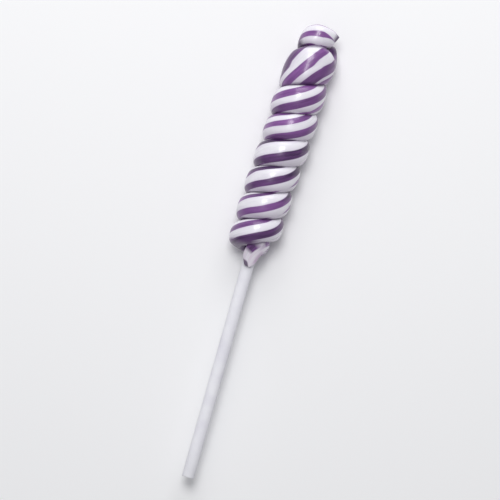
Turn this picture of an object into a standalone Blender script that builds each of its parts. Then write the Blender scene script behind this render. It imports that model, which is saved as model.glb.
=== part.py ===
"""Swirl lollipop: one striped candy rope wound into seven turns round a paper stick.

The lollipop lies along X with the pinched top of the candy towards +X and the stick towards -X.
The side with the open view of all turns faces up (+Z). Lengths are in millimetres until they are
given to Blender, which takes metres."""

import math

import bmesh
import bpy
import numpy as np
from mathutils import Vector

MM = 0.001

# Stick: a 6-inch rolled paper stick, a little off the middle of the candy and leaning slightly.
STICK_DIAMETER = 4.4
STICK_LENGTH = 152.0
STICK_INSIDE = 72.0
STICK_ACROSS = 1.0
STICK_LEAN = math.radians(2.2)
STICK_EDGE = 0.25
STICK_SIDES = 48
FIT_GAP = 0.3

# Wound rope: where the front of each turn lies above the lower end of the candy, how far each turn
# bulges out from its centre line, half of its height along the stick, its shift to the side, and
# how much it is raised a quarter turn on. The rope starts a turn further down, at START_UP, is
# slimmer there, and is dented from below where its tail is pressed against it.
TURN_UP = (8.5, 17.8, 27.4, 37.1, 46.7, 56.4)
TURN_BULGE = (4.25, 4.45, 4.3, 4.5, 4.35, 4.5)
TURN_HALF = (4.75, 4.9, 5.0, 5.1, 5.0, 5.3)
TURN_SWAY = (0.3, 0.05, -0.1, 0.3, 0.4, 0.1)
TURN_LIFT = (0.6, 0.75, 0.75, 0.35, 0, 0)
START_UP = -2.2
START_BULGE = 3.95
START_HALF = 4.2
DENT_TURNS = (-0.0625, 0.0625, 0.125, 0.25)
DENT_DEPTHS = (0, 1.2, 0.9, 0)
COIL_RADIUS = 4.45
COIL_START = -0.25
COIL_END = 4.875
INNER_DEPTH = 3.0
SQUASH = 2.6

# Solid sugar between the rope and the stick: how far up it starts, narrows and ends.
CORE_DIAMETER = 9.0
CORE_TOP_DIAMETER = 6.8
CORE_FROM = 7.5
CORE_NARROWS = (65.0, 74.0)
CORE_TO = 78.4
CORE_SIDES = 40

# Depth of the flat that the candy rests on.
REST_FLAT = 0.4

# Mesh steps: rings between two stations of the rope, points round each ring, passes that even out
# the way the rings face, and how many stations at each end keep theirs.
RING_STEPS = 4
RING_SIDES = 28
SMOOTH_PASSES = 16
SMOOTH_FROM = 5
SMOOTH_TO = 6


def station(turn, radius, up, facing, bulge, depth, upper, lower):
    """One section of the rope. It lies at this turn round the stick, this radius from its axis and
    this far up. It faces the given turn, and reaches out, in, up and down by the last four."""
    angle = 2 * math.pi * turn
    across = radius * math.sin(angle)
    forward = radius * math.cos(angle)
    return (across, forward, up, 2 * math.pi * facing, bulge, depth, upper, lower)


def tail_stations():
    """The lower end of the rope comes round from the back, thins and is pressed onto the stick."""
    return [
        station(-0.953, 3.1, -3.75, -0.972, 0.3, 0.3, 1.1, 1.0),
        station(-0.942, 3.25, -2.6, -0.968, 0.5, 0.4, 2.2, 1.7),
        station(-0.922, 3.5, -0.6, -0.954, 0.9, 0.6, 3.6, 2.1),
        station(-0.890, 3.75, 1.2, -0.924, 1.3, 1.0, 4.5, 1.9),
        station(-0.846, 3.85, 2.8, -0.874, 1.9, 1.4, 5.0, 1.6),
        station(-0.780, 3.85, 4.2, -0.792, 2.1, 1.8, 4.3, 1.9),
        station(-0.705, 4.1, 4.4, -0.707, 2.4, 2.4, 3.3, 2.5),
        station(-0.612, 4.35, 4.0, -0.608, 3.1, 2.7, 4.1, 3.4),
        station(-0.502, 4.3, 4.1, -0.503, 3.5, 2.8, 4.5, 3.7),
        station(-0.375, 4.3, 4.9, -0.375, 3.65, 2.8, 4.3, 3.9),
    ]


def coil_stations():
    """The even part of the coil, with a section at every eighth of a turn and closer ones where the
    tail dents the first turn from below."""
    fronts = np.arange(len(TURN_UP))
    from_start = [COIL_START, *fronts]
    over_tail = (COIL_START, -0.125, -0.0625, 0, 0.0625)
    made = []
    for turn in [*over_tail, *np.arange(0.125, COIL_END + 0.01, 0.125)]:
        up = np.interp(turn, [-1, *fronts], [START_UP, *TURN_UP])
        up += np.interp(turn, fronts, TURN_LIFT) * max(0, math.sin(2 * math.pi * turn)) ** 2
        bulge = np.interp(turn, from_start, [START_BULGE, *TURN_BULGE])
        half = np.interp(turn, from_start, [START_HALF, *TURN_HALF])
        sway = np.interp(turn, from_start, [0, *TURN_SWAY])
        lower = half - np.interp(turn, DENT_TURNS, DENT_DEPTHS)
        row = station(turn, COIL_RADIUS, up, turn, bulge, INNER_DEPTH, half, lower)
        made.append((row[0] + sway, *row[1:]))
    return made


def top_lobe_stations():
    """The last full turn swells into an egg and climbs steeply before it bends to the back."""
    return [
        station(5.000, 4.45, 56.4, 5.000, 4.5, 3.0, 5.5, 5.3),
        station(5.125, 4.45, 57.6, 5.125, 4.5, 3.0, 5.9, 5.4),
        station(5.250, 4.45, 58.85, 5.250, 4.45, 3.0, 6.25, 5.5),
        station(5.375, 4.45, 60.1, 5.375, 4.4, 3.0, 6.5, 5.6),
        station(5.500, 4.45, 61.4, 5.500, 4.35, 3.0, 6.4, 5.7),
        station(5.750, 4.28, 64.1, 5.750, 4.2, 3.0, 6.35, 6.2),
        station(5.875, 4.2, 66.5, 5.875, 4.25, 3.0, 6.9, 6.8),
        station(6.000, 4.1, 69.0, 6.000, 4.4, 3.0, 6.9, 7.4),
        station(6.100, 4.25, 70.0, 6.100, 4.4, 3.0, 7.0, 7.2),
        station(6.180, 4.35, 70.3, 6.180, 4.5, 3.0, 5.9, 7.0),
        station(6.250, 4.5, 70.6, 6.250, 4.5, 2.5, 4.4, 6.6),
    ]


def nub_stations():
    """Above the egg the rope goes once more round, thins and ends in a pinched blade."""
    return [
        station(6.300, 4.8, 71.2, 6.300, 4.3, 2.4, 4.9, 6.2),
        station(6.363, 4.8, 72.6, 6.370, 4.15, 2.4, 6.2, 5.6),
        station(6.500, 3.95, 74.6, 6.500, 3.7, 3.1, 5.2, 5.0),
        station(6.635, 3.6, 76.4, 6.640, 3.15, 2.8, 4.2, 4.2),
        station(6.741, 3.45, 77.8, 6.750, 2.75, 2.9, 3.7, 3.4),
        station(6.848, 2.95, 79.0, 6.850, 2.8, 3.2, 3.7, 3.9),
        station(6.987, 2.4, 80.0, 6.975, 2.9, 4.0, 3.8, 4.6),
        station(7.125, 3.2, 80.3, 7.012, 2.45, 3.4, 3.3, 4.4),
        station(7.183, 4.6, 80.05, 7.022, 1.65, 1.8, 3.0, 3.8),
        station(7.205, 5.6, 79.7, 7.022, 0.8, 0.8, 2.65, 3.0),
        station(7.213, 6.15, 79.45, 7.022, 0.35, 0.35, 2.45, 2.6),
    ]


def smooth_path(stations):
    """Rows between the stations, on a curve through all of them that allows for uneven spacing."""
    rows = np.array(stations)
    gaps = np.linalg.norm(np.diff(rows[:, :3], axis=0), axis=1)
    slopes = np.diff(rows, axis=0) / gaps[:, None]
    middle = slopes[:-1] * gaps[1:, None] + slopes[1:] * gaps[:-1, None]
    middle /= (gaps[:-1] + gaps[1:])[:, None]
    tangents = np.vstack([slopes[:1], middle, slopes[-1:]])
    path = []
    for start, gap in enumerate(gaps):
        for step in range(RING_STEPS):
            part = step / RING_STEPS
            square = part * part
            cube = square * part
            path.append(
                (2 * cube - 3 * square + 1) * rows[start]
                + (cube - 2 * square + part) * gap * tangents[start]
                + (3 * square - 2 * cube) * rows[start + 1]
                + (cube - square) * gap * tangents[start + 1]
            )
    path.append(rows[-1])
    return path


def directions(centres):
    """The way the rope runs at each ring, evened out so that neighbouring rings never cross."""
    ways = np.gradient(np.array(centres), axis=0)
    ways /= np.linalg.norm(ways, axis=1)[:, None]
    first = SMOOTH_FROM * RING_STEPS
    last = -SMOOTH_TO * RING_STEPS
    for _ in range(SMOOTH_PASSES):
        around = ways[first - 1 : last - 1] + 2 * ways[first:last] + ways[first + 1 : last + 1]
        ways[first:last] = around / 4
    return [Vector(way).normalized() for way in ways]


def lying(across, forward, up):
    """Place of a point of the upright lollipop once it lies down with its front facing up."""
    return Vector((up, -across, forward)) * MM


def ring_points(centre, along, row):
    """Points of one squashed round section, square to the rope at this place."""
    facing, bulge, depth, upper, lower = row[3:]
    out = Vector((0, -math.sin(facing), math.cos(facing)))
    out = (out - along * out.dot(along)).normalized()
    rise = out.cross(along)
    points = []
    for side in range(RING_SIDES):
        angle = 2 * math.pi * side / RING_SIDES
        cosine = math.cos(angle)
        sine = math.sin(angle)
        reach = bulge if cosine > 0 else depth
        height = upper if sine > 0 else lower
        outward = math.copysign(abs(cosine) ** (2 / SQUASH), cosine) * reach * MM
        upward = math.copysign(abs(sine) ** (2 / SQUASH), sine) * height * MM
        points.append(centre + out * outward + rise * upward)
    return points


def add_object(name, bm, collection):
    """Makes a smooth shaded object from the working mesh."""
    mesh = bpy.data.meshes.new(name)
    bm.to_mesh(mesh)
    bm.free()
    mesh.shade_smooth()
    made = bpy.data.objects.new(name, mesh)
    collection.objects.link(made)
    return made


def add_rope(collection):
    """The rope as one tube through all its sections, closed at both ends."""
    path = smooth_path(tail_stations() + coil_stations() + top_lobe_stations() + nub_stations())
    centres = [lying(*row[:3]) for row in path]
    bm = bmesh.new()
    rings = []
    for centre, along, row in zip(centres, directions(centres), path):
        points = ring_points(centre, along, row)
        rings.append([bm.verts.new(point) for point in points])
    for near, far in zip(rings, rings[1:]):
        for side in range(RING_SIDES):
            after = (side + 1) % RING_SIDES
            bm.faces.new((near[side], far[side], far[after], near[after]))
    bm.faces.new(rings[0])
    bm.faces.new(rings[-1])
    bmesh.ops.recalc_face_normals(bm, faces=bm.faces)
    return add_object("candy_rope", bm, collection)


def add_core(collection):
    """A turned bar of solid sugar that fills the middle of the coil."""
    bm = bmesh.new()
    wide = CORE_DIAMETER / 2
    narrow = CORE_TOP_DIAMETER / 2
    outline = [
        (0, CORE_TO),
        (narrow, CORE_TO),
        (narrow, CORE_NARROWS[1]),
        (wide, CORE_NARROWS[0]),
        (wide, CORE_FROM),
        (0, CORE_FROM),
    ]
    points = [bm.verts.new((radius * MM, 0, up * MM)) for radius, up in outline]
    for start, end in zip(points, points[1:]):
        bm.edges.new((start, end))
    core = add_object("sugar_core", bm, collection)
    turning = core.modifiers.new("turning", "SCREW")
    turning.axis = "Z"
    turning.steps = CORE_SIDES
    turning.render_steps = CORE_SIDES
    turning.use_merge_vertices = True
    turning.merge_threshold = 0.00001
    core.rotation_euler = (0, math.radians(90), 0)
    return core


def add_rod(name, radius, start, end, collection):
    """A cylinder on the line of the stick, between two places measured from its lower end."""
    bm = bmesh.new()
    bmesh.ops.create_cone(
        bm,
        cap_ends=True,
        segments=STICK_SIDES,
        radius1=radius * MM,
        radius2=radius * MM,
        depth=(end - start) * MM,
    )
    rod = add_object(name, bm, collection)
    foot = STICK_INSIDE - STICK_LENGTH
    middle = (start + end) / 2 * MM
    lean = Vector((math.cos(STICK_LEAN), math.sin(STICK_LEAN), 0))
    rod.location = lying(STICK_ACROSS - foot * math.tan(STICK_LEAN), 0, foot) + lean * middle
    rod.rotation_euler = (0, math.radians(90), STICK_LEAN)
    return rod


def add_table(collection):
    """A block just under the candy that cuts its lowest points flat."""
    bm = bmesh.new()
    bmesh.ops.create_cube(bm, size=1)
    bmesh.ops.scale(bm, vec=(0.3, 0.06, 0.02), verts=bm.verts)
    table = add_object("table", bm, collection)
    lowest = REST_FLAT - COIL_RADIUS - max(TURN_BULGE)
    table.location = (0, 0, lowest * MM - 0.01)
    return table


def add_boolean(target, other, operation, crosses_itself=False):
    joint = target.modifiers.new(other.name, "BOOLEAN")
    joint.operation = operation
    joint.object = other
    joint.solver = "EXACT"
    joint.use_self = crosses_itself


def paint(target, name, colour, roughness):
    """Gives the object a plain material of this colour."""
    made = bpy.data.materials.new(name)
    made.use_nodes = True
    surface = made.node_tree.nodes["Principled BSDF"]
    surface.inputs["Base Color"].default_value = (*colour, 1)
    surface.inputs["Roughness"].default_value = roughness
    surface.inputs["Metallic"].default_value = 0
    target.data.materials.append(made)


def build_candy(parts, cutters):
    """Fuses the turns of the rope with the core, then cuts the stick's bore and the resting flat."""
    candy = add_rope(parts)
    core = add_core(cutters)
    reach = STICK_DIAMETER / 2 + FIT_GAP
    bore = add_rod("stick_bore", reach, -5, STICK_LENGTH + FIT_GAP, cutters)
    table = add_table(cutters)
    add_boolean(candy, core, "UNION", crosses_itself=True)
    add_boolean(candy, bore, "DIFFERENCE")
    add_boolean(candy, table, "DIFFERENCE")
    paint(candy, "striped_sugar", (0.45, 0.34, 0.50), 0.2)
    return candy


def build_stick(parts):
    """The paper stick, with its end edges eased."""
    stick = add_rod("paper_stick", STICK_DIAMETER / 2, 0, STICK_LENGTH, parts)
    stick.data.set_sharp_from_angle(angle=math.radians(40))
    easing = stick.modifiers.new("eased ends", "BEVEL")
    easing.width = STICK_EDGE * MM
    easing.segments = 2
    easing.limit_method = "ANGLE"
    easing.angle_limit = math.radians(40)
    paint(stick, "white_paper", (0.85, 0.85, 0.88), 0.7)
    return stick


def centre_over_floor(holder, parts):
    """Moves the holder so that the lollipop rests on z = 0 with its middle over the origin."""
    bpy.context.view_layer.update()
    graph = bpy.context.evaluated_depsgraph_get()
    points = []
    for item in parts:
        solid = item.evaluated_get(graph)
        points += [solid.matrix_world @ vertex.co for vertex in solid.data.vertices]
    low = np.min(points, axis=0)
    high = np.max(points, axis=0)
    holder.location = (-(low[0] + high[0]) / 2, -(low[1] + high[1]) / 2, -low[2])


def main():
    for item in list(bpy.data.objects):
        bpy.data.objects.remove(item, do_unlink=True)
    parts = bpy.data.collections.new("swirl_lollipop")
    cutters = bpy.data.collections.new("cutters")
    for made in (parts, cutters):
        bpy.context.scene.collection.children.link(made)
    holder = bpy.data.objects.new("lollipop_middle", None)
    parts.objects.link(holder)
    candy = build_candy(parts, cutters)
    stick = build_stick(parts)
    for item in [candy, stick, *cutters.objects]:
        item.parent = holder
    for item in cutters.objects:
        item.hide_render = True
        item.display_type = "WIRE"
    centre_over_floor(holder, [candy, stick])


main()
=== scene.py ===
import math

import bmesh
import bpy
import numpy as np
from mathutils import Matrix, Vector


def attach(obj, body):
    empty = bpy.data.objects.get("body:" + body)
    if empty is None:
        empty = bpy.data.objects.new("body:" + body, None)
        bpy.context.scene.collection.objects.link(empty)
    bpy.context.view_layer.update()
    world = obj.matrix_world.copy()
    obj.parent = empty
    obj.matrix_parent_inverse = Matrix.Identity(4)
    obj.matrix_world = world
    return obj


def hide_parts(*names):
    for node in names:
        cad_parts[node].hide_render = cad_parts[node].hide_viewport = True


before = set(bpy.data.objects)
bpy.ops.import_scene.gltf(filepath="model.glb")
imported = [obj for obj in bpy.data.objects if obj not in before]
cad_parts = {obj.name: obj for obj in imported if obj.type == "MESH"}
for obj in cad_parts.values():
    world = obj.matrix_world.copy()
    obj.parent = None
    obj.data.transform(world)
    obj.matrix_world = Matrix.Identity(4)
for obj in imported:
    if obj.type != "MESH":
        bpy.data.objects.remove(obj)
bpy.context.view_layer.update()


# The candy rope is one pulled rope of boiled sugar, white with purple stripes, twisted while it was
# warm and wound seven times round the stick. Below, its end is thinned out and pressed onto the
# stick. On top it swells, curls in and is pinched off. All sizes here are in millimetres.
MM = 0.001
MIDDLE = Vector((-1.856, 0.194, 8.55))
TURN_UP = (8.5, 17.8, 27.4, 37.1, 46.7, 56.4)
TURN_BULGE = (4.25, 4.45, 4.3, 4.5, 4.35, 4.5)
TURN_HALF = (4.75, 4.9, 5.0, 5.1, 5.0, 5.3)
TURN_SWAY = (0.3, 0.05, -0.1, 0.3, 0.4, 0.1)
TURN_LIFT = (0.6, 0.75, 0.75, 0.35, 0, 0)
TURN_STRIPES = (-22, 225, 471, 703, 915, 1181)
START_UP = -2.2
START_BULGE = 3.95
START_HALF = 4.2
START_STRIPES = -94
DENT_TURNS = (-0.0625, 0.0625, 0.125, 0.25)
DENT_DEPTHS = (0, 1.2, 0.9, 0)
TWIST_BEHIND = 12
TWIST_ASIDE = 6
COIL_RADIUS = 4.45
COIL_START = -0.25
COIL_END = 4.875
INNER_DEPTH = 3.0
SQUASH = 2.6
ROPE_SIDES = 64
FINE_SIDES = 768
RINGS_BETWEEN = 8
SMOOTH_PASSES = 64
SMOOTH_FROM = 5
SMOOTH_TO = 6


def station(turn, radius, up, facing, bulge, depth, upper, lower, stripes):
    """One section of the rope: its turn round the stick, its distance from the middle, how far up
    it is, the turn it faces, its four reaches, and how far the stripes have twisted there."""
    angle = 2 * math.pi * turn
    across = radius * math.sin(angle)
    forward = radius * math.cos(angle)
    return (across, forward, up, 2 * math.pi * facing, bulge, depth, upper, lower, stripes)


def thinned_tail():
    """The lower end of the rope comes round from the back, thins and is pressed onto the stick."""
    return [
        station(-0.953, 3.1, -3.75, -0.972, 0.3, 0.3, 1.1, 1.0, -185),
        station(-0.942, 3.25, -2.6, -0.968, 0.5, 0.4, 2.2, 1.7, -182),
        station(-0.922, 3.5, -0.6, -0.954, 0.9, 0.6, 3.6, 2.1, -178),
        station(-0.890, 3.75, 1.2, -0.924, 1.3, 1.0, 4.5, 1.9, -170),
        station(-0.846, 3.85, 2.8, -0.874, 1.9, 1.4, 5.0, 1.6, -160),
        station(-0.780, 3.85, 4.2, -0.792, 2.1, 1.8, 4.3, 1.9, -148),
        station(-0.705, 4.1, 4.4, -0.707, 2.4, 2.4, 3.3, 2.5, -138),
        station(-0.612, 4.35, 4.0, -0.608, 3.1, 2.7, 4.1, 3.4, -130),
        station(-0.502, 4.3, 4.1, -0.503, 3.5, 2.8, 4.5, 3.7, -120),
        station(-0.375, 4.3, 4.9, -0.375, 3.65, 2.8, 4.3, 3.9, -105),
    ]


def even_turns():
    """Six turns that lie on each other. The lowest is dented from below by the tail, and the
    stripes twist a little unevenly, most of it behind."""
    fronts = np.arange(len(TURN_UP))
    known = [COIL_START, *fronts]
    over_tail = (COIL_START, -0.125, -0.0625, 0, 0.0625)
    made = []
    for turn in [*over_tail, *np.arange(0.125, COIL_END + 0.01, 0.125)]:
        angle = 2 * math.pi * turn
        up = np.interp(turn, [-1, *fronts], [START_UP, *TURN_UP])
        up += np.interp(turn, fronts, TURN_LIFT) * max(0, math.sin(angle)) ** 2
        bulge = np.interp(turn, known, [START_BULGE, *TURN_BULGE])
        half = np.interp(turn, known, [START_HALF, *TURN_HALF])
        sway = np.interp(turn, known, [0, *TURN_SWAY])
        stripes = np.interp(turn, known, [START_STRIPES, *TURN_STRIPES])
        stripes += TWIST_BEHIND * (1 - math.cos(angle)) - TWIST_ASIDE * math.sin(angle)
        lower = half - np.interp(turn, DENT_TURNS, DENT_DEPTHS)
        row = station(turn, COIL_RADIUS, up, turn, bulge, INNER_DEPTH, half, lower, stripes)
        made.append((row[0] + sway, *row[1:]))
    return made


def swollen_top_turn():
    """The rope swells to an egg shape in its top turn."""
    return [
        station(5.000, 4.45, 56.4, 5.000, 4.5, 3.0, 5.5, 5.3, 1181),
        station(5.125, 4.45, 57.6, 5.125, 4.5, 3.0, 5.9, 5.4, 1215),
        station(5.250, 4.45, 58.85, 5.250, 4.45, 3.0, 6.25, 5.5, 1252),
        station(5.375, 4.45, 60.1, 5.375, 4.4, 3.0, 6.5, 5.6, 1292),
        station(5.500, 4.45, 61.4, 5.500, 4.35, 3.0, 6.4, 5.7, 1336),
        station(5.750, 4.28, 64.1, 5.750, 4.2, 3.0, 6.35, 6.2, 1426),
        station(5.875, 4.2, 66.5, 5.875, 4.25, 3.0, 6.9, 6.8, 1467),
        station(6.000, 4.1, 69.0, 6.000, 4.4, 3.0, 6.9, 7.4, 1507),
        station(6.100, 4.25, 70.0, 6.100, 4.4, 3.0, 7.0, 7.2, 1539),
        station(6.180, 4.35, 70.3, 6.180, 4.5, 3.0, 5.9, 7.0, 1563),
        station(6.250, 4.5, 70.6, 6.250, 4.5, 2.5, 4.4, 6.6, 1582),
    ]


def pinched_nub():
    """Above the top turn the rope curls in tighter, comes to the front and is pinched off."""
    return [
        station(6.300, 4.8, 71.2, 6.300, 4.3, 2.4, 4.9, 6.2, 1594),
        station(6.363, 4.8, 72.6, 6.370, 4.15, 2.4, 6.2, 5.6, 1608),
        station(6.500, 3.95, 74.6, 6.500, 3.7, 3.1, 5.2, 5.0, 1632),
        station(6.635, 3.6, 76.4, 6.640, 3.15, 2.8, 4.2, 4.2, 1651),
        station(6.741, 3.45, 77.8, 6.750, 2.75, 2.9, 3.7, 3.4, 1665),
        station(6.848, 2.95, 79.0, 6.850, 2.8, 3.2, 3.7, 3.9, 1674),
        station(6.987, 2.4, 80.0, 6.975, 2.9, 4.0, 3.8, 4.6, 1680),
        station(7.125, 3.2, 80.3, 7.012, 2.45, 3.4, 3.3, 4.4, 1680),
        station(7.183, 4.6, 80.05, 7.022, 1.65, 1.8, 3.0, 3.8, 1680),
        station(7.205, 5.6, 79.7, 7.022, 0.8, 0.8, 2.65, 3.0, 1680),
        station(7.213, 6.15, 79.45, 7.022, 0.35, 0.35, 2.45, 2.6, 1680),
    ]


def rope_line(stations):
    """The rope's sections in small steps, on a smooth curve through all the stations."""
    rows = np.array(stations)
    gaps = np.linalg.norm(np.diff(rows[:, :3], axis=0), axis=1)
    slopes = np.diff(rows, axis=0) / gaps[:, None]
    middle = slopes[:-1] * gaps[1:, None] + slopes[1:] * gaps[:-1, None]
    middle /= (gaps[:-1] + gaps[1:])[:, None]
    tangents = np.vstack([slopes[:1], middle, slopes[-1:]])
    line = []
    for start, gap in enumerate(gaps):
        for step in range(RINGS_BETWEEN):
            part = step / RINGS_BETWEEN
            square = part * part
            cube = square * part
            line.append(
                (2 * cube - 3 * square + 1) * rows[start]
                + (cube - 2 * square + part) * gap * tangents[start]
                + (3 * square - 2 * cube) * rows[start + 1]
                + (cube - square) * gap * tangents[start + 1]
            )
    line.append(rows[-1])
    return np.array(line)


def rope_directions(centres):
    """The way the rope runs at each ring, evened out so that neighbouring rings never cross."""
    ways = np.gradient(centres, axis=0)
    ways /= np.linalg.norm(ways, axis=1)[:, None]
    first = SMOOTH_FROM * RINGS_BETWEEN
    last = -SMOOTH_TO * RINGS_BETWEEN
    for _ in range(SMOOTH_PASSES):
        around = ways[first - 1 : last - 1] + 2 * ways[first:last] + ways[first + 1 : last + 1]
        ways[first:last] = around / 4
    return ways / np.linalg.norm(ways, axis=1)[:, None]


def squashed_round(bulge, depth, upper, lower):
    """Evenly spaced points round the section of the rope, from its outermost point upwards."""
    angles = np.linspace(0, 2 * math.pi, FINE_SIDES + 1)
    cosines = np.cos(angles)
    sines = np.sin(angles)
    out = np.sign(cosines) * np.abs(cosines) ** (2 / SQUASH) * np.where(cosines > 0, bulge, depth)
    rise = np.sign(sines) * np.abs(sines) ** (2 / SQUASH) * np.where(sines > 0, upper, lower)
    run = np.concatenate([[0], np.cumsum(np.hypot(np.diff(out), np.diff(rise)))])
    wanted = np.arange(ROPE_SIDES) / ROPE_SIDES * run[-1]
    return np.interp(wanted, run, out), np.interp(wanted, run, rise)


def ring_places(centre, way, row):
    """Where the points of one ring lie, in metres, with the lollipop lying on its back."""
    facing = row[3]
    out = np.array((0, -math.sin(facing), math.cos(facing)))
    out = out - way * out.dot(way)
    out /= np.linalg.norm(out)
    rise = np.cross(out, way)
    outward, upward = squashed_round(*row[4:8])
    places = centre + np.outer(outward, out) + np.outer(upward, rise) + np.array(MIDDLE)
    places[:, 2] = np.maximum(places[:, 2], 0)
    return places * MM


def next_ring(bm, ring, places):
    """Pulls the open end of the tube out into one more ring."""
    rim = [bm.edges.get((near, far)) for near, far in zip(ring, ring[1:] + ring[:1])]
    made = bmesh.ops.extrude_edge_only(bm, edges=rim)["geom"]
    fresh = {item for item in made if isinstance(item, bmesh.types.BMVert)}
    pulled = []
    for vertex, place in zip(ring, places):
        tips = [edge.other_vert(vertex) for edge in vertex.link_edges]
        tip = next(other for other in tips if other in fresh)
        tip.co = place
        pulled.append(tip)
    return pulled


line = rope_line(thinned_tail() + even_turns() + swollen_top_turn() + pinched_nub())
centres = np.column_stack([line[:, 2], -line[:, 0], line[:, 1]])
ways = rope_directions(centres)
run = np.concatenate([[0], np.cumsum(np.linalg.norm(np.diff(centres, axis=0), axis=1))])

bm = bmesh.new()
ring = list(bmesh.ops.create_circle(bm, segments=ROPE_SIDES, radius=MM)["verts"])
for vertex, place in zip(ring, ring_places(centres[0], ways[0], line[0])):
    vertex.co = place
places_on_rope = {vertex: (0, side) for side, vertex in enumerate(ring)}
bmesh.ops.contextual_create(bm, geom=ring)
for number in range(1, len(line)):
    ring = next_ring(bm, ring, ring_places(centres[number], ways[number], line[number]))
    places_on_rope.update({vertex: (number, side) for side, vertex in enumerate(ring)})
bmesh.ops.contextual_create(bm, geom=ring)
bmesh.ops.recalc_face_normals(bm, faces=bm.faces)
round_and_along = bm.loops.layers.uv.new("round_and_along")
above_and_along = bm.loops.layers.uv.new("above_and_along")
for face in bm.faces:
    face.smooth = True
    sides = [places_on_rope[vertex][1] for vertex in face.verts]
    crosses_start = ROPE_SIDES - 1 in sides
    crosses_back = ROPE_SIDES // 2 + 1 in sides
    for loop in face.loops:
        number, side = places_on_rope[loop.vert]
        if side == 0 and crosses_start:
            side = ROPE_SIDES
        around = side / ROPE_SIDES - line[number, 8] / 360
        loop[round_and_along].uv = (around, run[number] / 100)
        behind = side > ROPE_SIDES // 2 or (side == ROPE_SIDES // 2 and crosses_back)
        above = side / ROPE_SIDES - (1 if behind else 0)
        loop[above_and_along].uv = (above, run[number] / 100)
mesh = bpy.data.meshes.new("swirled_rope")
bm.to_mesh(mesh)
bm.free()
rope = bpy.data.objects.new("swirled_rope", mesh)
bpy.context.scene.collection.objects.link(rope)


def add_node(tree, kind, inputs, **settings):
    """Adds a shader node. An input is either a value or the socket that feeds it."""
    made = tree.nodes.new(kind)
    for name, value in settings.items():
        setattr(made, name, value)
    for key, value in inputs.items():
        if isinstance(value, bpy.types.NodeSocket):
            tree.links.new(value, made.inputs[key])
        else:
            made.inputs[key].default_value = value
    return made


def work_out(tree, operation, *values):
    made = add_node(tree, "ShaderNodeMath", dict(enumerate(values)), operation=operation)
    return made.outputs[0]


def blend_colours(tree, share, first, second):
    made = add_node(tree, "ShaderNodeMix", {0: share, 6: first, 7: second}, data_type="RGBA")
    return made.outputs[2]


def ease(tree, value, low, high, start=0.0, end=1.0):
    """Runs from start to end, evenly, while the value goes from low to high."""
    inputs = {"Value": value, "From Min": low, "From Max": high, "To Min": start, "To Max": end}
    return add_node(tree, "ShaderNodeMapRange", inputs).outputs[0]


def strength_ramp(tree, value, stops, interpolation="LINEAR"):
    """Reads a strength off a line through (place, strength) stops, of which the first is at 0 and
    the last at 1."""
    ramp = add_node(tree, "ShaderNodeValToRGB", {0: value})
    ramp.color_ramp.interpolation = interpolation
    points = ramp.color_ramp.elements
    for end, (place, strength) in ((points[0], stops[0]), (points[1], stops[-1])):
        end.position = place
        end.color = (strength, strength, strength, 1)
    for place, strength in stops[1:-1]:
        points.new(place).color = (strength, strength, strength, 1)
    return ramp.outputs[0]


def stripe_depth(tree, around, stripes):
    """1 in the middle of a purple stripe, a half at its edges, and 0 in the middle of the white.
    The stripes are given by their middle and width, in degrees round the rope, and the last one
    thins out where the way round ends."""
    edges = [(middle + side * width / 2, 0.5) for middle, width in stripes for side in (-1, 1)]
    middles = [(middle, 1) for middle, width in stripes]
    ends = sorted(angle for angle, depth in edges)
    whites = [((ends[i] + ends[i + 1]) / 2, 0) for i in range(1, len(ends) - 1, 2)]
    known = sorted(edges + middles + whites)
    stops = [(angle / 360, depth) for angle, depth in known if angle < 360]
    return strength_ramp(tree, around, [(0, 0), *stops, (1, 0)])


# Boiled sugar: glossy, a little cloudy under the surface, with fine streaks along the rope from the
# pulling. The purple bleeds faintly into the white and thins out where the tail is stretched.
# Painted shade darkens the creases where the turns touch, the purple near the upper creases and the
# lower side of each turn; painted dark reflections line the two ends of the rope, and a painted
# highlight lightens the purple on the fifth turn. Along the rope, places are in tenths of a metre
# from the tip of the tail.
STRIPES = [(43, 36), (114.6, 26), (167.7, 33), (230.3, 26), (282.2, 34), (344.5, 32)]
STRIPE_PALENESS = (0.1, 0.45, 0.5, 0.75, 0.2, 0.6)
SEAM_PALENESS = 0.35
STRIPES_TURNED = 0.12
STRIPES_WANDER = 0.03
NARROW_STRIPE_REACH = 22
STRIPE_EDGE = (0.46, 0.54)
STRIPE_BLEED = (0.2, 0.55)
PURPLE_FROM = (0.06, 0.11)
THIN_SUGAR_TO = (0.06, 0.12)
SHIFTED_PATCHES = {"top_of_top_turn": -0.06, "bottom_of_nub": 0.04, "top_of_lower_turns": -0.032}
NARROWER_FROM = [(0.4, 0.55, 0.07), (1.0, 1.15, -0.07), (2.26, 2.32, 0.05), (2.37, 2.41, 0.4)]
NARROWER_PATCHES = {"bottom_of_top_turn": -0.14}
NARROW_STRIPE_PATCHES = {"bottom_of_all_but_top": 1, "sixth_turn": -0.13}
PALER_FROM = [(0.42, 0.52, 0.12), (0.7, 0.8, -0.12), (1.6, 1.7, 0.15), (1.85, 1.95, -0.05)]
# Painted light on the purple: painted shade near the upper crease of the middle turns and on the right of
# the fifth turn, and a painted highlight on the left of the fifth turn.
PAINTED_LIGHT_ON_PURPLE = {
    "painted_shade_atop_middle_turns": -0.65,
    "painted_shade_right_of_fifth_turn": -0.39,
    "painted_highlight_left_of_fifth_turn": 0.25,
}
SMEARED_PATCHES = ("under_first_turn", "left_of_tail", "shoulder", "beside_tail")
# Painted dark reflections: dark lines painted along the edge and tip of the nub and the end of the tail.
PAINTED_DARK_EDGE_PATCHES = {"edge_of_nub": 1, "tip_of_nub": 0.85, "end_of_tail": 0.85}
# Painted shade in the creases where the turns touch: its strength at places along the rope.
PAINTED_CREASE_SHADE = [
    (0, 0.6), (0.012, 0.1), (0.09, 0.1), (0.13, 0.4), (0.3, 0.45), (0.36, 0.9),
    (2.2, 0.9), (2.26, 0.2), (2.3, 0.25), (2.4, 0.7), (2.5, 0.5),
]
CREASE_SIDE = (0.17, 0.205)

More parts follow.
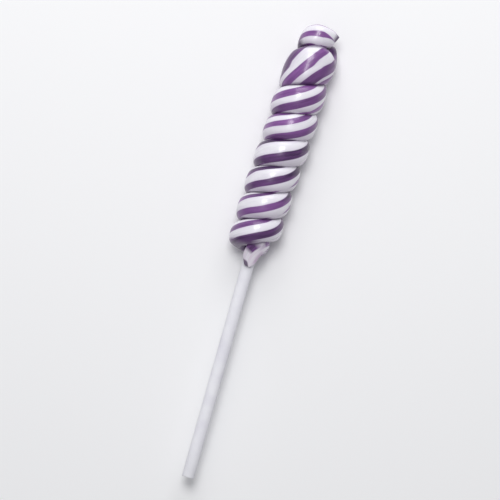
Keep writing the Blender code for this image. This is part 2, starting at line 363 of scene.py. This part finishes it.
# Patches of the rope: where each one fades in and out along it, and where it fades in across it, as
# a share of the way round from the outermost line, with minus for below. A slanting patch also
# shifts across as it goes along.
PATCHES = {
    "end_of_tail": (None, (0.013, 0.019), (-0.10, -0.04), -12.0),
    "right_of_tail": ((0.012, 0.03), (0.064, 0.08), (-0.10, -0.17), -1.9),
    "left_of_tail": ((0.038, 0.048), (0.06, 0.075), (0.09, 0.12)),
    "beside_tail": ((0.078, 0.086), (0.12, 0.14), (0.03, 0.07)),
    "under_first_turn": ((0.1, 0.14), (0.30, 0.335), (-0.09, -0.13)),
    "top_of_lower_turns": ((0.4, 0.85), (1.25, 1.35), (0.0, 0.08)),
    "painted_shade_atop_middle_turns": ((0.4, 0.5), (1.33, 1.4), (0.04, 0.13)),
    "painted_highlight_left_of_fifth_turn": ((1.36, 1.4), (1.46, 1.52), (0.0, 0.08)),
    "painted_shade_right_of_fifth_turn": ((1.46, 1.53), (1.6, 1.7), (0.04, 0.13)),
    "sixth_turn": ((1.6, 1.68), (1.8, 1.88), None),
    "bottom_of_all_but_top": (None, (1.75, 1.9), (0.0, -0.12)),
    "bottom_of_top_turn": ((1.85, 2.0), (2.2, 2.26), (0.06, 0.0)),
    "top_of_top_turn": ((1.85, 2.0), (2.2, 2.26), (-0.02, 0.18)),
    "shoulder": ((2.135, 2.165), (2.235, 2.26), (0.08, 0.12)),
    "bottom_of_nub": ((2.24, 2.3), None, (-0.03, -0.13)),
    "edge_of_nub": ((2.25, 2.28), (2.303, 2.322), (0.03, -0.12)),
    "tip_of_nub": ((2.402, 2.414), None, (-0.03, 0.04)),
}

# The sides that some patches keep to, in metres: left and right of the middle, and up from the table.
LEFT_SIDE = (-0.003, 0.003)
RIGHT_SIDE = (-0.002, -0.005)
FRONT_SIDE = (0.003, 0.007)

DEEP_PURPLE = (0.047, 0.016, 0.074, 1)
VIOLET = (0.28, 0.11, 0.365, 1)
WHITE = (0.82, 0.80, 0.86, 1)
SHADED_WHITE = (0.62, 0.58, 0.69, 1)
BLED_TINT = (0.55, 0.44, 0.65, 1)
# Painted shade: the tint laid on the lower side of each turn.
PAINTED_LOWER_SHADE = (0.53, 0.44, 0.57, 1)
THIN_PINK = (0.78, 0.69, 0.80, 1)
BLUSH = (0.40, 0.21, 0.42, 1)
# The colour of the painted shade in the creases and of the painted dark reflections at the ends.
PAINTED_CREASE_SHADE_COLOUR = (0.06, 0.018, 0.092, 1)
GLAZE = {
    "Coat Weight": 0.28,
    "Coat Roughness": 0.12,
    "Subsurface Weight": 0.15,
    "Subsurface Radius": (1.0, 0.8, 1.0),
    "Subsurface Scale": 0.0008,
}


def multiply(tree, *values):
    product = values[0]
    for value in values[1:]:
        product = work_out(tree, "MULTIPLY", product, value)
    return product


def add_steps(tree, value, along, steps):
    """Adds a change for each step: it begins at the first place along the rope and is whole at
    the second."""
    for begins, whole, change in steps:
        value = work_out(tree, "ADD", value, ease(tree, along, begins, whole, 0, change))
    return value


def patch_on_rope(tree, along, above, fades_in, fades_out, across, slant=0):
    """1 on one patch of the rope and 0 off it."""
    shares = []
    if fades_in:
        shares.append(ease(tree, along, *fades_in))
    if fades_out:
        shares.append(ease(tree, along, *fades_out, 1, 0))
    if across:
        height = work_out(tree, "MULTIPLY_ADD", along, slant, above) if slant else above
        shares.append(ease(tree, height, *across))
    return multiply(tree, *shares)


def add_patches(tree, value, patches, changes):
    for name, change in changes.items():
        value = work_out(tree, "ADD", value, multiply(tree, patches[name], change))
    return value


def narrow_stripes(tree, around):
    """1 round every second stripe, which are the narrow ones, and 0 from shortly before the next."""
    begins = [((middle - NARROW_STRIPE_REACH) / 360, 1) for middle, width in STRIPES[1::2]]
    ends = [((middle - NARROW_STRIPE_REACH) / 360, 0) for middle, width in STRIPES[2::2]]
    return strength_ramp(tree, around, [(0, 0), *sorted(begins + ends), (1, 0)], "CONSTANT")


def narrowing(tree, around, along, patches):
    """How much is taken off the edges of the stripes, or added to them where it is below 0."""
    taken = add_steps(tree, 0.0, along, NARROWER_FROM)
    taken = add_patches(tree, taken, patches, NARROWER_PATCHES)
    taken_off_narrow = add_patches(tree, 0.0, patches, NARROW_STRIPE_PATCHES)
    return work_out(tree, "MULTIPLY_ADD", taken_off_narrow, narrow_stripes(tree, around), taken)


def strongest(tree, *values):
    most = values[0]
    for value in values[1:]:
        most = work_out(tree, "MAXIMUM", most, value)
    return most


def purple_with_painted_light(tree, around, along, streaks, patches):
    """Deep purple to violet: uneven from stripe to stripe, along the rope and in the streaks, with
    painted shade near the upper crease of the middle turns and on the right of the fifth turn, and
    a painted highlight on the left of the fifth turn.
    """
    stops = [(middle / 360, pale) for (middle, width), pale in zip(STRIPES, STRIPE_PALENESS)]
    paleness_and_painted_light = strength_ramp(tree, around, [(0, SEAM_PALENESS), *stops, (1, SEAM_PALENESS)])
    paleness_and_painted_light = work_out(tree, "ADD", paleness_and_painted_light, ease(tree, streaks, 0.3, 0.75, -0.1, 0.3))
    # Painted shade and a painted highlight on the purple.
    paleness_and_painted_light = add_patches(tree, paleness_and_painted_light, patches, PAINTED_LIGHT_ON_PURPLE)
    paleness_and_painted_light = add_steps(tree, paleness_and_painted_light, along, PALER_FROM)
    return blend_colours(tree, paleness_and_painted_light, DEEP_PURPLE, VIOLET)


def white_with_painted_shade(tree, bled, along, above, streaks, patches):
    """White, tinted by the purple at the edges of the stripes, darkened by painted shade on the lower
    side of each turn, and pink in the tail.
    """
    cream = blend_colours(tree, ease(tree, streaks, 0.52, 0.8, 0, 0.5), WHITE, SHADED_WHITE)
    edged = blend_colours(tree, multiply(tree, bled, 0.35), cream, BLED_TINT)
    # Painted shade: the lower side of each turn is tinted darker and greyer.
    shaded = blend_colours(tree, ease(tree, above, -0.02, -0.14, 0, 0.48), edged, PAINTED_LOWER_SHADE)
    pale = blend_colours(tree, ease(tree, streaks, 0.35, 0.65), WHITE, THIN_PINK)
    rosy = blend_colours(tree, multiply(tree, patches["right_of_tail"], 0.55), pale, BLUSH)
    return blend_colours(tree, ease(tree, along, *THIN_SUGAR_TO, 1, 0), shaded, rosy)


def painted_shade_places(tree, along, above, patches):
    """1 where painted shade darkens the creases where turns touch, and along the painted dark
    reflections at the edges of the two ends of the rope.
    """
    length = PAINTED_CREASE_SHADE[-1][0]
    stops = [(place / length, strength) for place, strength in PAINTED_CREASE_SHADE]
    darkness = strength_ramp(tree, multiply(tree, along, 1 / length), stops)
    in_crease = ease(tree, work_out(tree, "ABSOLUTE", above), *CREASE_SIDE)
    dark = [multiply(tree, patches[name], strength) for name, strength in PAINTED_DARK_EDGE_PATCHES.items()]
    return strongest(tree, multiply(tree, in_crease, darkness), *dark)


sugar = bpy.data.materials.new("striped_boiled_sugar")
sugar.use_nodes = True
tree = sugar.node_tree
surface = tree.nodes["Principled BSDF"]
place = add_node(tree, "ShaderNodeUVMap", {}, uv_map="round_and_along")
parts = add_node(tree, "ShaderNodeSeparateXYZ", {0: place.outputs[0]})
along = parts.outputs[1]
height_place = add_node(tree, "ShaderNodeUVMap", {}, uv_map="above_and_along")
above = add_node(tree, "ShaderNodeSeparateXYZ", {0: height_place.outputs[0]}).outputs[0]
spot = add_node(tree, "ShaderNodeTexCoord", {})
where = add_node(tree, "ShaderNodeSeparateXYZ", {0: spot.outputs["Object"]})
on_right = ease(tree, where.outputs[1], *RIGHT_SIDE)
in_front = ease(tree, where.outputs[2], *FRONT_SIDE)
patches = {name: patch_on_rope(tree, along, above, *limits) for name, limits in PATCHES.items()}
only_there = {
    "top_of_lower_turns": ease(tree, where.outputs[1], *LEFT_SIDE),
    "bottom_of_all_but_top": ease(tree, multiply(tree, on_right, in_front), 0, 1, 0.25, 0.55),
    "top_of_top_turn": ease(tree, along, 1.98, 2.14, 0.1, 1),
}
for name, share in only_there.items():
    patches[name] = multiply(tree, patches[name], share)
around = add_patches(tree, parts.outputs[0], patches, SHIFTED_PATCHES)

turned = multiply(tree, around, 2 * math.pi)
circle = {
    "X": work_out(tree, "COSINE", turned),
    "Y": work_out(tree, "SINE", turned),
    "Z": multiply(tree, along, 4.0),
}
pulled = add_node(tree, "ShaderNodeCombineXYZ", circle).outputs[0]
wander = add_node(tree, "ShaderNodeTexNoise", {"Vector": pulled, "Scale": 1.3, "Detail": 2.0}).outputs[0]
streaks = add_node(tree, "ShaderNodeTexNoise", {"Vector": pulled, "Scale": 5.0, "Detail": 5.0}).outputs[0]
clouds = add_node(
    tree, "ShaderNodeTexNoise", {"Vector": pulled, "Scale": 0.9, "Detail": 3.0, "Roughness": 0.6}
).outputs[0]
unshifted = work_out(tree, "ADD", around, -STRIPES_WANDER / 2)
shifted = work_out(tree, "MULTIPLY_ADD", wander, STRIPES_WANDER, unshifted)
share_round = work_out(tree, "FRACT", work_out(tree, "ADD", shifted, STRIPES_TURNED))

over_edge = work_out(
    tree, "SUBTRACT",
    stripe_depth(tree, share_round, STRIPES),
    narrowing(tree, share_round, along, patches),
)
bled = ease(tree, over_edge, *STRIPE_BLEED)
in_stripe = multiply(tree, ease(tree, over_edge, *STRIPE_EDGE), ease(tree, along, *PURPLE_FROM))
smeared = [patches[name] for name in SMEARED_PATCHES]
purple = purple_with_painted_light(tree, share_round, along, streaks, patches)
ground = white_with_painted_shade(tree, bled, along, above, streaks, patches)
striped = blend_colours(tree, strongest(tree, in_stripe, *smeared), ground, purple)
# Painted shade in the creases and painted dark reflections at the ends of the rope, over the stripes.
coloured = blend_colours(tree, painted_shade_places(tree, along, above, patches), striped, PAINTED_CREASE_SHADE_COLOUR)
tree.links.new(coloured, surface.inputs["Base Color"])
tree.links.new(ease(tree, clouds, 0.3, 0.7, 0.22, 0.4), surface.inputs["Roughness"])
for name, value in GLAZE.items():
    surface.inputs[name].default_value = value
ridges = work_out(tree, "MULTIPLY_ADD", streaks, 0.4, clouds)
uneven = add_node(tree, "ShaderNodeBump", {"Strength": 0.6, "Distance": 0.0002, "Height": ridges})
tree.links.new(uneven.outputs[0], surface.inputs["Normal"])
mesh.materials.append(sugar)
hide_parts("candy_rope")
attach(rope, "root")


# The stick is a sheet of white paper rolled up tight and glued, so its long edge leaves a fine
# straight seam and the cut ends show the layers. It runs up inside the candy, a little off the
# middle and leaning slightly.
STICK_RADIUS = 2.2
STICK_LENGTH = 152.0
STICK_FOOT = -80.0
STICK_ACROSS = -1.0
STICK_LEAN = math.radians(2.2)
STICK_SIDES = 96
STICK_PARTS = 12
SHEET = 0.06
SEAM_AT = math.radians(60)
SEAM_GAP = 0.3
CUT_EDGE = [(0, 0.2), (0.06, 0.06), (0.25, 0)]
LAYER_SPACING = 0.16
LAYERS_END = (2.0, 2.05)
CLEAN_PAPER = (0.86, 0.86, 0.90, 1)
GREYED_PAPER = (0.76, 0.75, 0.82, 1)
LAYER_BROWN = (0.50, 0.47, 0.48, 1)


def rolled_round(radius):
    """Points round the roll, which steps in by one sheet of paper at its seam."""
    steps = np.arange(STICK_SIDES) / (STICK_SIDES - 1)
    angles = SEAM_AT + steps * 2 * math.pi * (1 - SEAM_GAP / STICK_SIDES)
    radii = radius - SHEET * (1 - steps)
    return radii * np.cos(angles), radii * np.sin(angles)


bm = bmesh.new()
ring = list(bmesh.ops.create_circle(bm, segments=STICK_SIDES, radius=MM)["verts"])
inner_edge = [(STICK_LENGTH - place, inset) for place, inset in reversed(CUT_EDGE)]
middles = [(STICK_LENGTH * part / STICK_PARTS, 0) for part in range(1, STICK_PARTS)]
cross_section = {}
for number, (place, inset) in enumerate(CUT_EDGE + middles + inner_edge):
    sideways, upward = rolled_round(STICK_RADIUS - inset)
    points = np.column_stack([np.full(STICK_SIDES, place), sideways, upward]) * MM
    if number:
        ring = next_ring(bm, ring, points)
    else:
        for vertex, point in zip(ring, points):
            vertex.co = point
        bmesh.ops.contextual_create(bm, geom=ring)
    cross_section.update(zip(ring, zip(sideways, upward)))
bmesh.ops.contextual_create(bm, geom=ring)
bmesh.ops.recalc_face_normals(bm, faces=bm.faces)
roll = bm.loops.layers.uv.new("across_the_roll")
for face in bm.faces:
    face.smooth = len(face.verts) == 4
    for loop in face.loops:
        loop[roll].uv = cross_section[loop.vert]
foot = Vector((STICK_FOOT, STICK_ACROSS + STICK_FOOT * math.tan(STICK_LEAN), 0)) + MIDDLE
placing = Matrix.Translation(foot * MM) @ Matrix.Rotation(STICK_LEAN, 4, "Z")
bmesh.ops.transform(bm, matrix=placing, verts=bm.verts)
mesh = bpy.data.meshes.new("rolled_stick")
bm.to_mesh(mesh)
bm.free()
stick = bpy.data.objects.new("rolled_stick", mesh)
bpy.context.scene.collection.objects.link(stick)

paper = bpy.data.materials.new("rolled_white_paper")
paper.use_nodes = True
tree = paper.node_tree
surface = tree.nodes["Principled BSDF"]
place = add_node(tree, "ShaderNodeUVMap", {}, uv_map="across_the_roll")
parts = add_node(tree, "ShaderNodeSeparateXYZ", {0: place.outputs[0]})
bearing = work_out(tree, "ARCTAN2", parts.outputs[1], parts.outputs[0])
distance = add_node(tree, "ShaderNodeVectorMath", {0: place.outputs[0]}, operation="LENGTH")
layer = work_out(tree, "DIVIDE", distance.outputs["Value"], LAYER_SPACING)
wound = work_out(tree, "SUBTRACT", layer, work_out(tree, "DIVIDE", bearing, 2 * math.pi))
line_of_layer = ease(tree, work_out(tree, "PINGPONG", wound, 0.5), 0.0, 0.16, 1, 0)
layers = multiply(tree, line_of_layer, ease(tree, distance.outputs["Value"], *LAYERS_END, 1, 0))
spot = add_node(tree, "ShaderNodeTexCoord", {})
grain = add_node(tree, "ShaderNodeMapping", {0: spot.outputs["Object"], "Scale": (300, 2600, 2600)})
fibres = add_node(tree, "ShaderNodeTexNoise", {"Vector": grain.outputs[0], "Scale": 1.0, "Detail": 5.0})
mottle = add_node(
    tree, "ShaderNodeTexNoise", {"Vector": spot.outputs["Object"], "Scale": 160.0, "Detail": 3.0}
)
mottled = ease(tree, mottle.outputs[0], 0.3, 0.75)
sheet_colour = blend_colours(tree, mottled, CLEAN_PAPER, GREYED_PAPER)
marked = blend_colours(tree, layers, sheet_colour, LAYER_BROWN)
tree.links.new(marked, surface.inputs["Base Color"])
tree.links.new(ease(tree, fibres.outputs[0], 0.3, 0.7, 0.62, 0.8), surface.inputs["Roughness"])
height = work_out(tree, "SUBTRACT", fibres.outputs[0], layers)
felt = add_node(tree, "ShaderNodeBump", {"Strength": 0.4, "Distance": 0.00003, "Height": height})
tree.links.new(felt.outputs[0], surface.inputs["Normal"])
mesh.materials.append(paper)
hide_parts("paper_stick")
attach(stick, "root")


# The table is not part of the lollipop. It is plain and nearly white, so that it shows the candy's
# outline and its shadow.
TABLE_HALF = 2.0
bm = bmesh.new()
bmesh.ops.create_grid(bm, x_segments=1, y_segments=1, size=TABLE_HALF)
mesh = bpy.data.meshes.new("table")
bm.to_mesh(mesh)
bm.free()
table = bpy.data.objects.new("table", mesh)
bpy.context.scene.collection.objects.link(table)
plain = bpy.data.materials.new("plain_table")
plain.use_nodes = True
surface = plain.node_tree.nodes["Principled BSDF"]
surface.inputs["Base Color"].default_value = (0.93, 0.93, 0.94, 1)
surface.inputs["Roughness"].default_value = 0.9
surface.inputs["Specular IOR Level"].default_value = 0.1
mesh.materials.append(plain)


# Studio light: a soft box overhead, a wider one past the top of the candy, and a bright room. Each
# box points at the middle of the lollipop.
ROOM_COLOUR = (0.96, 0.97, 1.0, 1)
ROOM_STRENGTH = 0.3


def soft_box(name, place, width, height, watts):
    """A wide lamp, with its place and size in metres."""
    light = bpy.data.lights.new(name, "AREA")
    light.shape = "RECTANGLE"
    light.size = width
    light.size_y = height
    light.energy = watts
    box = bpy.data.objects.new(name, light)
    box.location = place
    box.rotation_euler = (-Vector(place)).to_track_quat("-Z", "Y").to_euler()
    bpy.context.scene.collection.objects.link(box)


soft_box("key_box", (0.28, 0.12, 0.80), 0.32, 0.32, 3.6)
soft_box("head_box", (0.75, 0.15, 0.50), 0.7, 0.5, 3.4)
world = bpy.data.worlds.new("bright_room")
world.use_nodes = True
world.node_tree.nodes["Background"].inputs[0].default_value = ROOM_COLOUR
world.node_tree.nodes["Background"].inputs[1].default_value = ROOM_STRENGTH
bpy.context.scene.world = world
bpy.context.scene.view_settings.view_transform = "Standard"


# The camera looks straight down, turned so that the candy leans 18 degrees to the right. The frame
# is this wide, in metres, at half the height of the candy.
FRAME_WIDTH = 0.174
LEAN = math.radians(18)
HALF_HEIGHT = 0.0087
FOCAL_LENGTH = 200
lens = bpy.data.cameras.new("camera")
lens.lens = FOCAL_LENGTH
camera = bpy.data.objects.new("camera", lens)
bpy.context.scene.collection.objects.link(camera)
upward = Vector((math.cos(LEAN), math.sin(LEAN), 0))
rightward = Vector((math.sin(LEAN), -math.cos(LEAN), 0))
camera.rotation_euler = Matrix((rightward, upward, (0, 0, 1))).transposed().to_euler()
camera.location = Vector((0, 0, HALF_HEIGHT + FRAME_WIDTH / 2 / math.tan(lens.angle / 2)))
bpy.context.scene.camera = camera
